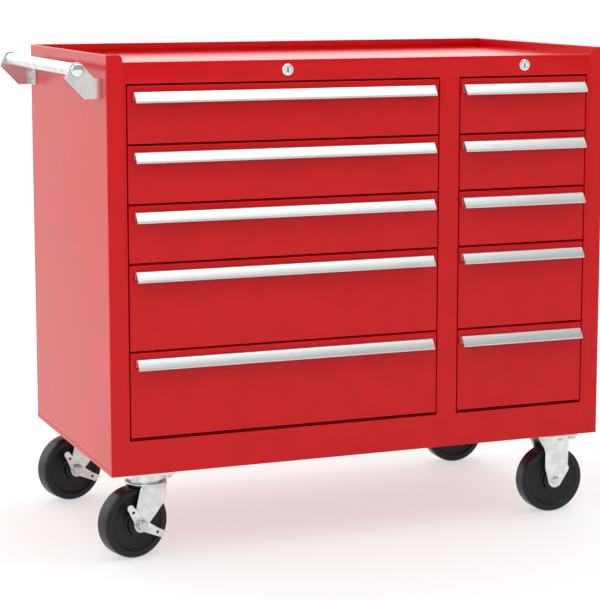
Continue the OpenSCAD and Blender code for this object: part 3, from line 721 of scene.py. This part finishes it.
def wheel_profile(settings):
    """Half of a wheel's section, as (radius, distance from its middle plane).

    From the bore: a flat hub face, a fillet, a dished web with moulded rings, whose height is
    ring_rise * max(0, cos(2 pi r / ring_gap))^3, a rim bead, a round shoulder and a crowned tread.
    """
    hub = np.array([[6.45, 23.3], [8.6, 23.3], [8.8, 22.9], [9.6, 22.9], [9.8, 23.3],
                    [19.6, 23.3], [20.6, 22.4], [21.4, 19.5]])
    fillet = arc((24.5, 17.6), 3.0, 170, 262, 6)
    r = np.linspace(25.0, 46.5, 44)
    rings = settings.ring_rise / MM * np.maximum(
        0, np.cos(2 * math.pi * r / (settings.ring_gap / MM))) ** 3
    fade = smooth_step(r, 25, 27) * (1 - smooth_step(r, 45, 46.5))
    web = np.stack([r, 14.6 + rings * fade], axis=1)
    rim = np.array([[48.0, 14.9], [49.6, 16.6], [50.4, 17.6], [51.4, 17.95], [53.2, 17.95],
                    [53.9, 17.6], [54.7, 17.6]])
    shoulder = arc((57.4, 12.1), 5.8, 84, 14, 9)
    tread = np.array([[63.2, 12.6], [63.3, 11.9], [63.4, 6.0], [63.45, 0.0]])
    return np.concatenate([hub, fillet, web, rim, shoulder]) * MM, tread * MM


class CHEST_OT_wheels(bpy.types.Operator):
    """Caster wheels: hard rubber with a ringed, dished face and a ground tread"""
    bl_idname = "chest.wheels"
    bl_label = "Wheels"

    def execute(self, context):
        face, tread = wheel_profile(context.scene.chest_wheels)
        finishes = [sidewall_rubber(), tread_rubber(), fastener_zinc()]
        bush = np.array([[6.36, -23.3], [8.2, -23.3], [8.4, -23.1], [8.4, 23.1], [8.2, 23.3],
                         [6.36, 23.3]]) * MM
        for end in ENDS:
            for side in SIDES:
                origin, _, along = axes_of(f"roll_{end}_{side}")
                body = f"wheel_{end}_{side}"
                grids = [grid(revolve(bush, origin, along, 48), True, True, 2)]
                for direction in (-1, 1):
                    for profile, finish in ((face, 0), (np.concatenate([face[-1:], tread]), 1)):
                        points = revolve(profile, origin, direction * along, 112)
                        grids.append(grid(points, False, True, finish))
                bore = np.array([[face[0, 0], -face[0, 1]], [face[0, 0], face[0, 1]]])
                grids.append(grid(revolve(bore, origin, along, 112), False, True, 0))
                make_piece(f"{body}_moulded", grids, body, finishes, [body])
        return {"FINISHED"}


# Radius of the eye round the axle, and half the gap between a caster's two legs, in millimetres
EYE = {"rigid": 13.9, "swivel": 13.6}
LEG_PLANE = 25.75


def leg_edges(z, kind):
    """Front and back edge of a caster leg at each height, as distances from the axle's plane.

    Both edges end on the round eye of the axle: x = -+ sqrt(r^2 - z^2) below where the straight
    edge meets it. z is measured from the axle.
    """
    reach = EYE[kind]
    round_part = np.sqrt(np.maximum(0, reach ** 2 - np.minimum(z, reach) ** 2))
    if kind == "rigid":
        left = np.interp(z, [-6, 22, 53, 58, 63, 68, 88.5], [-13.2, -20, -20, -20.7, -22.4, -25, -38])
        right = np.interp(z, [-10, 22, 62, 88.5], [10.5, 31, 31, 35])
        return (np.where(z < -6, -round_part, left), np.where(z < -10, round_part, right))
    left = np.interp(z, [-9.5, 33, 40, 64, 72], [-9.8, -50.5, -53.5, -54.6, -55.6])
    right = np.interp(z, [2, 66, 72], [13.6, -3.2, -3.0])
    return (np.where(z < -9.5, -round_part, left), np.where(z < 2, round_part, right))


def leg_points(settings, kind, top, outward):
    """A stamped leg as a grid: rows down its height, columns across its width.

    A point is (x, y, z) with x between the edges, y = LEG_PLANE + rib - lip - fold + flare, where the rib is
    a raised cosine across x, the lip turns the two edges towards the wheel and the flare swings
    the top outwards. The fold turns the front strip in behind a crease. The rows close on the lowest point of the eye.
    """
    low = -EYE[kind]
    rows = np.concatenate([low * np.cos(np.linspace(0, 1.2, 10)), np.linspace(low * 0.3, top, 46)])
    across = np.linspace(-1, 1, 37)
    across = np.sign(across) * np.abs(across) ** 0.75
    left, right = leg_edges(rows, kind)
    middle, half = (left + right) / 2, (right - left) / 2
    x = middle[:, None] + half[:, None] * across[None, :]
    z = np.repeat(rows[:, None], len(across), axis=1)
    free = smooth_step(z, 14, 30)
    turned = smooth_step(np.abs(across), 0.84, 1.0)[None, :] ** 2
    y = np.full_like(x, LEG_PLANE) - settings.lip / MM * turned * free
    if kind == "rigid":
        swell = np.maximum(0, np.cos(np.clip((x - 9) / 6.5, -1, 1) * math.pi / 2)) ** 2
        y = y + settings.rib / MM * swell * smooth_step(z, 10, 26) * (1 - smooth_step(z, 76, 86))
        fold = np.clip(x - 24.5, 0, None) * 0.8 * free * (1 - smooth_step(z, 74, 88))
        fold = fold + 0.9 * np.exp(-((x - 23.6) / 1.3) ** 2) * free * (1 - smooth_step(z, 78, 88))
        y = y - fold
        dimples = sum(np.exp(-((x - dx) ** 2 + (z - dz) ** 2) / 1.6)
                      for dx, dz in ((-9.6, 5.5), (-3.0, 10.8), (6.5, 9.2)))
        y = y - 0.7 * dimples
    y = y + 3.2 * smooth_step(z, top - 9, top) ** 2
    return np.stack([x, outward * y, z], axis=-1) * MM


def rounded_plate(origin, across, along, length, width, thickness, corner):
    """A plate with round corners and eased edges, closed at the middle of both faces.

    Its outline is a rectangle shrunk by the corner's radius plus a circle of that radius. Each row
    is that outline moved in or out and set at its height.
    """
    turn = np.radians(np.arange(0, 360, 5))
    core = np.stack([np.sign(np.cos(turn + 1e-6)) * (length / 2 - corner),
                     np.sign(np.sin(turn + 1e-6)) * (width / 2 - corner)], axis=1)
    ring = np.stack([np.cos(turn), np.sin(turn)], axis=1)
    ease = 0.7 * MM
    rows = [(0.0, 0.0, 0.0), (0.6, 0.0, 0.0), (1.0, -ease, 0.0), (1.0, -0.3 * ease, 0.3 * ease),
            (1.0, 0.0, ease), (1.0, 0.0, thickness - ease), (1.0, -0.3 * ease, thickness - 0.3 * ease),
            (1.0, -ease, thickness), (0.6, 0.0, thickness), (0.0, 0.0, thickness)]
    points = np.zeros((len(rows), len(turn), 3))
    for row, (scale, grow, height) in enumerate(rows):
        points[row, :, :2] = scale * core + (scale * corner + grow) * ring
        points[row, :, 2] = height
    return set_in(points, origin, across, along)


class CHEST_OT_swivel_casters(bpy.types.Operator):
    """Swivel casters: stamped fork under a race cup, axle bolt with nuts, and a brake lever"""
    bl_idname = "chest.swivel_casters"
    bl_label = "Swivel casters"

    def execute(self, context):
        settings = context.scene.chest_casters
        zinc, steel = stamped_zinc(), fastener_zinc()
        eased_copy("swivel_plates", [zinc], 0.5 * MM)
        for end in ENDS:
            origin, across, along = axes_of(f"roll_{end}_left")
            node = f"fork_{end}_left"
            pivot = np.array(JOINTS[f"swivel_{end}_left"]["pos_m"])
            pivot[2] = 0
            body = BODIES[node]
            crown_z = 131 * MM
            disc = np.concatenate([
                [[6.2, 0.1], [34.5, 0.1]], arc((35.6, 2.0), 1.9, -90, 90, 9), [[34.5, 3.9],
                 [28.2, 3.9]], arc((27.0, 11.9), 1.0, 0, 90, 4), arc((21.0, 11.9), 1.0, 90, 180, 4),
                [[19.8, 3.9], [6.2, 3.9]]]) * MM
            crown = grid(revolve(disc, pivot + crown_z * UP, UP, 96), True, True)
            make_piece(f"{node}_crown", [crown], body, [zinc], [node])
            top = 131.5 - 63.5
            for outward, word in ((1, "outer"), (-1, "inner")):
                points = leg_points(settings, "swivel", top, outward)
                points = set_in(points, origin, across, along)
                make_piece(f"{node}_{word}_leg", [grid(points)], body, [zinc], [node],
                           settings.wall, 0.35 * MM)
            self.axle(end, origin, along, steel, zinc)
            eased_copy(f"brake_{end}_left", [zinc], 0.5 * MM)
        return {"FINISHED"}

    @staticmethod
    def axle(end, origin, along, steel, zinc):
        """The axle bolt: shank, ringed washer and nut outside the brake lever, head inside."""
        node = f"axle_{end}_left"
        outer, inner = 31.5 * MM, 27.7 * MM
        shank = np.array([[0, -36.5], [5.6, -36.5], [6.3, -35.8], [6.3, 32], [6.3, 33], [0, 33]]) * MM
        washer = np.concatenate([
            [[6.4, 0], [11.0, 0]], arc((10.4, 0.9), 0.9, -60, 90, 6),
            [[9.2, 1.9], [8.6, 1.3], [7.9, 1.3], [7.4, 1.9], [6.4, 1.9]]]) * MM
        nut_foot = origin + (outer + 1.9 * MM) * along
        shank_end = origin + (outer + 5 * MM) * along
        grids = [
            grid(revolve(shank, origin, along, 40), False, True),
            grid(revolve(washer, origin + outer * along, along, 64), True, True),
            grid(hexagon(nut_foot, along, 10 * MM, 5.6 * MM), False, True),
            grid(thread(shank_end, along, 6.1 * MM, 3 * MM), False, True),
            grid(hexagon(origin - inner * along, -along, 10.4 * MM, 8 * MM), False, True),
        ]
        make_piece(f"{node}_bolt", grids, BODIES[node], [steel], [node])


class CHEST_OT_rigid_casters(bpy.types.Operator):
    """Rigid casters: ribbed and folded legs that flare into a top plate"""
    bl_idname = "chest.rigid_casters"
    bl_label = "Rigid casters"

    def execute(self, context):
        settings = context.scene.chest_casters
        zinc = stamped_zinc()
        node = "rigid_caster_frames"
        plate_z = 152 * MM
        for end in ENDS:
            origin, across, along = axes_of(f"roll_{end}_right")
            base = origin * (1, 1, 0) + plate_z * UP
            plate = rounded_plate(base, across, along, 80 * MM, 92 * MM, 4 * MM, 7 * MM)
            make_piece(f"rigid_{end}_plate", [grid(plate, False, True)], "cabinet",
                       [zinc], [node])
            for outward, word in ((1, "inner"), (-1, "outer")):
                points = leg_points(settings, "rigid", 88.5, outward)
                points = set_in(points, origin, across, along)
                make_piece(f"rigid_{end}_{word}_leg", [grid(points)], "cabinet",
                           [zinc], [node], settings.wall, 0.35 * MM)
        return {"FINISHED"}


# ---------------------------------------------------------------------------- fasteners

def screw_head(origin, axis, radius, height):
    """A pan head with a cross recess: height * sqrt(1 - (r/R)^4), less the recess where the point
    lies within either arm of the cross."""
    axis = np.asarray(axis, float)
    a, b = np.cross(UP, axis), UP
    r = np.linspace(0, 1, 15)[:, None]
    turn = np.linspace(0, 2 * math.pi, 56, endpoint=False)[None, :]
    x, y = r * radius * np.cos(turn), r * radius * np.sin(turn)
    arm, reach = 0.55 * MM, 0.55 * radius
    within = ((np.abs(x) < arm) & (np.abs(y) < reach)) | ((np.abs(y) < arm) & (np.abs(x) < reach))
    rise = height * np.sqrt(np.maximum(0, 1 - r ** 4)) + 0 * turn - 0.45 * height * within
    return origin + x[..., None] * a + y[..., None] * b + rise[..., None] * axis


class CHEST_OT_fasteners(bpy.types.Operator):
    """Bracket screws, caster bolts with their nuts, and the rigid casters' axle rivets"""
    bl_idname = "chest.fasteners"
    bl_label = "Fasteners"

    def execute(self, context):
        grids = []
        for low, high in solids_of("fasteners"):
            middle = (low + high) / 2
            size = high - low
            axis = int(np.argmax(size))
            if axis == 1:
                grids += self.rivet(middle, size[1])
            elif size[2] > 16 * MM:
                grids += self.bolt(middle, low[2], high[2])
            else:
                grids += self.screw(middle, low[0], high[0])
        make_piece("fasteners_finished", grids, "cabinet", [fastener_zinc()],
                   ["fasteners"])
        return {"FINISHED"}

    @staticmethod
    def screw(middle, start, end):
        """A pan-head screw from the outside of the bracket, and its nut inside the panel."""
        head = np.array([start + 2.6 * MM, middle[1], middle[2]])
        shank = np.array([[0, 0.2], [5, 0.2], [5, 0], [2.5, 0], [2.5, -(end - head[0]) / MM + 0.4],
                          [0, -(end - head[0]) / MM]]) * MM
        nut = np.array([end - 5 * MM, middle[1], middle[2]])
        return [grid(screw_head(head, (-1, 0, 0), 5 * MM, 2.5 * MM), False, True),
                grid(revolve(shank, head, (-1, 0, 0), 24), False, True),
                grid(hexagon(nut, (1, 0, 0), 4.2 * MM, 3.4 * MM), False, True)]

    @staticmethod
    def bolt(middle, bottom, top):
        """A hexagon bolt down through the pan and the plate, with a nut below."""
        foot = np.array([middle[0], middle[1], bottom])
        head = np.array([middle[0], middle[1], top - 5 * MM])
        nut = np.array([middle[0], middle[1], bottom + 1.5 * MM])
        return [grid(hexagon(head, UP, 7.4 * MM, 4.9 * MM), False, True),
                grid(hexagon(nut, UP, 7.4 * MM, 6.4 * MM), False, True),
                grid(thread(foot + 9 * MM * UP, -UP, 3.95 * MM, 9 * MM), False, True)]

    @staticmethod
    def rivet(middle, length):
        """The riveted axle of a rigid caster: a bar with a domed head at each end."""
        half = length / 2 / MM
        dome = [[8.7 * math.cos(t), half - 2.4 + 2.3 * math.sin(t)] for t in np.linspace(0, 1.57, 9)]
        side = np.array([[6.3, 0.0], [6.3, half - 2.5], [8.7, half - 2.5]] + dome)
        side[-1, 0] = 0
        side = side * MM
        return [grid(revolve(side, middle, (0, way, 0), 48), False, True) for way in (-1, 1)]


# ---------------------------------------------------------------------------- stage

class CHEST_OT_stage(bpy.types.Operator):
    """Pale floor, soft light and the camera"""
    bl_idname = "chest.stage"
    bl_label = "Stage"

    def execute(self, context):
        settings = context.scene.chest_stage
        self.floor(settings)
        self.lights(context)
        self.camera(context, settings)
        context.scene.view_settings.view_transform = "Standard"
        return {"FINISHED"}

    @staticmethod
    def floor(settings):
        """A round floor far larger than the view: r goes out from the origin as a square."""
        ring = (np.linspace(0, 1, 16) ** 2 * 60)[:, None]
        turn = np.linspace(0, 2 * math.pi, 64, endpoint=False)[None, :]
        points = np.stack([ring * np.cos(turn), ring * np.sin(turn), 0 * ring * turn], axis=-1)
        flat, faces, _ = grid(points, False, True)
        mesh = bpy.data.meshes.new("studio_floor")
        mesh.from_pydata(flat.tolist(), [], faces.tolist())
        clean(mesh)
        floor = bpy.data.objects.new("studio_floor", mesh)
        bpy.context.scene.collection.objects.link(floor)
        # Opal acrylic lit from below, as for catalogue work: pale, with shadows that stay light
        material = new_material("opal_acrylic_table")
        tree = material.node_tree
        surface = bump(tree, grain(tree, 4 * MM), 0.05 * MM, 0.1)
        shader = add_node(tree, "ShaderNodeBsdfPrincipled",
                          {"Base Color": tuple(settings.floor), "Roughness": 0.9,
                           "Emission Color": (1, 1, 1, 1), "Emission Strength": 0.55},
                          {"Normal": surface.outputs[0]})
        mesh.materials.append(finish_material(material, shader))

    @staticmethod
    def lights(context):
        """An even white room and three large soft panels."""
        world = bpy.data.worlds.new("white_room")
        world.use_nodes = True
        tree = world.node_tree
        tree.nodes.clear()
        place = add_node(tree, "ShaderNodeTexCoord", {})
        parts = add_node(tree, "ShaderNodeSeparateXYZ", {}, {"Vector": place.outputs["Generated"]})
        # The room is lit from behind the chest, and darker behind the camera
        strength = add_node(tree, "ShaderNodeMapRange",
                            {"From Min": -0.6, "From Max": 0.5, "To Min": 0.45, "To Max": 1.6},
                            {"Value": parts.outputs["Y"]})
        glow = add_node(tree, "ShaderNodeBackground", {"Color": (1, 1, 1, 1)},
                        {"Strength": strength.outputs[0]})
        add_node(tree, "ShaderNodeOutputWorld", {}, {"Surface": glow.outputs[0]})
        context.scene.world = world
        low, high = CAD_BOX
        target = (low + high) / 2
        for name, place, size, power in (("overhead_panel", (0.2, -0.9, 3.2), 2.6, 34),
                                         ("front_left_panel", (-2.4, -3.0, 2.2), 2.2, 33),
                                         ("back_left_panel", (-2.8, 2.4, 1.6), 2.4, 8)):
            data = bpy.data.lights.new(name, "AREA")
            data.size = size
            data.energy = power
            light = bpy.data.objects.new(name, data)
            light.location = place
            light.rotation_euler = (target - Vector(place)).to_track_quat("-Z", "Y").to_euler()
            context.scene.collection.objects.link(light)

    @staticmethod
    def camera(context, settings):
        """A long lens from the front left, a little above the tray."""
        data = bpy.data.cameras.new("camera")
        data.sensor_width = 36
        data.lens = settings.lens
        data.shift_y = -0.05
        camera = bpy.data.objects.new("camera", data)
        camera.location = settings.place
        camera.rotation_euler = (math.pi / 2 - settings.pitch, 0, -settings.yaw)
        context.scene.collection.objects.link(camera)
        context.scene.camera = camera


# ---------------------------------------------------------------------------- add-on

OPERATORS = (CHEST_OT_cabinet, CHEST_OT_drawers, CHEST_OT_slides, CHEST_OT_pulls, CHEST_OT_locks,
             CHEST_OT_handle, CHEST_OT_wheels, CHEST_OT_swivel_casters, CHEST_OT_rigid_casters,
             CHEST_OT_fasteners, CHEST_OT_stage)
SETTINGS = {"chest_paint": PaintSettings, "chest_pulls": PullSettings,
            "chest_wheels": WheelSettings, "chest_casters": CasterSettings,
            "chest_stage": StageSettings}


class CHEST_PT_sidebar(bpy.types.Panel):
    """The chest's settings and pieces"""
    bl_idname = "CHEST_PT_sidebar"
    bl_label = "Tool chest"
    bl_space_type = "VIEW_3D"
    bl_region_type = "UI"
    bl_category = "Tool chest"

    def draw(self, context):
        for name, group in SETTINGS.items():
            box = self.layout.box()
            box.label(text=group.__doc__)
            for setting in group.__annotations__:
                box.prop(getattr(context.scene, name), setting)
        for operator in OPERATORS:
            self.layout.operator(operator.bl_idname)


def register():
    for group in SETTINGS.values():
        bpy.utils.register_class(group)
    for name, group in SETTINGS.items():
        setattr(bpy.types.Scene, name, bpy.props.PointerProperty(type=group))
    for operator in OPERATORS:
        bpy.utils.register_class(operator)
    bpy.utils.register_class(CHEST_PT_sidebar)


def unregister():
    bpy.utils.unregister_class(CHEST_PT_sidebar)
    for operator in reversed(OPERATORS):
        bpy.utils.unregister_class(operator)
    for name, group in SETTINGS.items():
        delattr(bpy.types.Scene, name)
        bpy.utils.unregister_class(group)


def main():
    """Builds every piece in order."""
    register()
    bpy.ops.chest.cabinet()
    bpy.ops.chest.drawers()
    bpy.ops.chest.slides()
    bpy.ops.chest.pulls()
    bpy.ops.chest.locks()
    bpy.ops.chest.handle()
    bpy.ops.chest.wheels()
    bpy.ops.chest.swivel_casters()
    bpy.ops.chest.rigid_casters()
    bpy.ops.chest.fasteners()
    bpy.ops.chest.stage()


if __name__ == "__main__":
    main()
